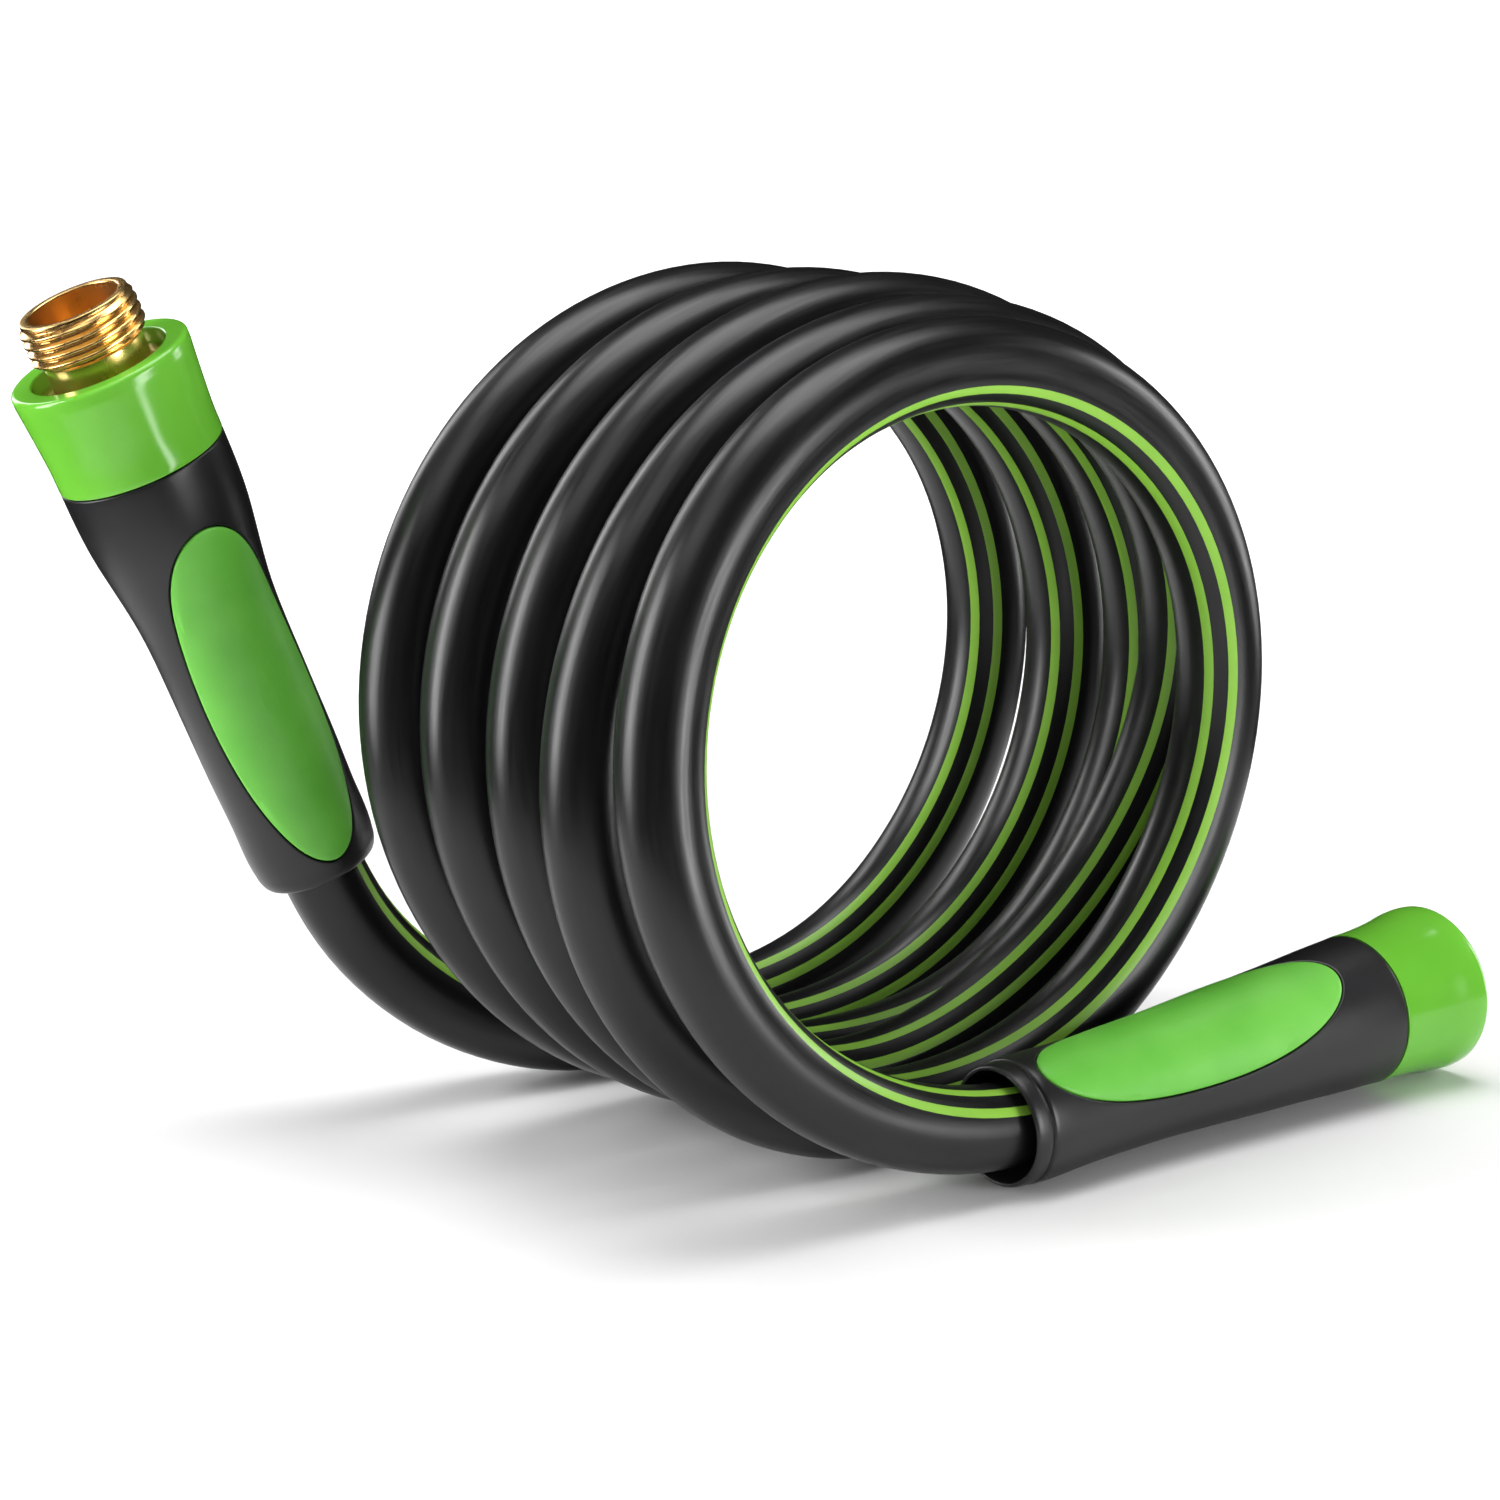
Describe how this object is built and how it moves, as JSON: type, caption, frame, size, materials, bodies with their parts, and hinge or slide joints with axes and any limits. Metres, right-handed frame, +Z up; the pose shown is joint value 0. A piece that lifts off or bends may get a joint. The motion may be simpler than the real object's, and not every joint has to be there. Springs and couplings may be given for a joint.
{
  "type": "garden hose",
  "caption": "Short coiled garden hose with a striped black jacket, a male threaded end and a swivelling female end, each in a soft grip handle.",
  "frame": {"origin": "on the floor under the middle of the whole object's box", "axes": "+X towards the female handle's open end, Y along the axis of the coil with -Y at the first turn, +Z up"},
  "size_m": [0.2846, 0.1794, 0.1932],
  "materials": {
    "hose_jacket": "satin",
    "brass": "polished",
    "green_gloss": "gloss",
    "green_soft": "satin",
    "grip_black": "satin",
    "washer_rubber": "matte"
  },
  "bodies": {
    "hose_body": {"hose": "hose_jacket", "male_coupling": "brass", "male_collar": "green_gloss", "male_grip": "grip_black", "male_grip_pad": "green_soft", "female_tailpiece": "brass"},
    "female_handle": {"female_grip": "grip_black", "female_grip_pad": "green_soft", "female_collar": "green_gloss", "female_nut": "brass", "female_washer": "washer_rubber"}
  },
  "joints": [
    {"name": "female_swivel", "type": "hinge", "parent": "hose_body", "child": "female_handle", "pos_m": [0.12135, -0.06766, 0.01836], "axis": [0.9965, 0.0732, 0.0398], "continuous": true}
  ]
}
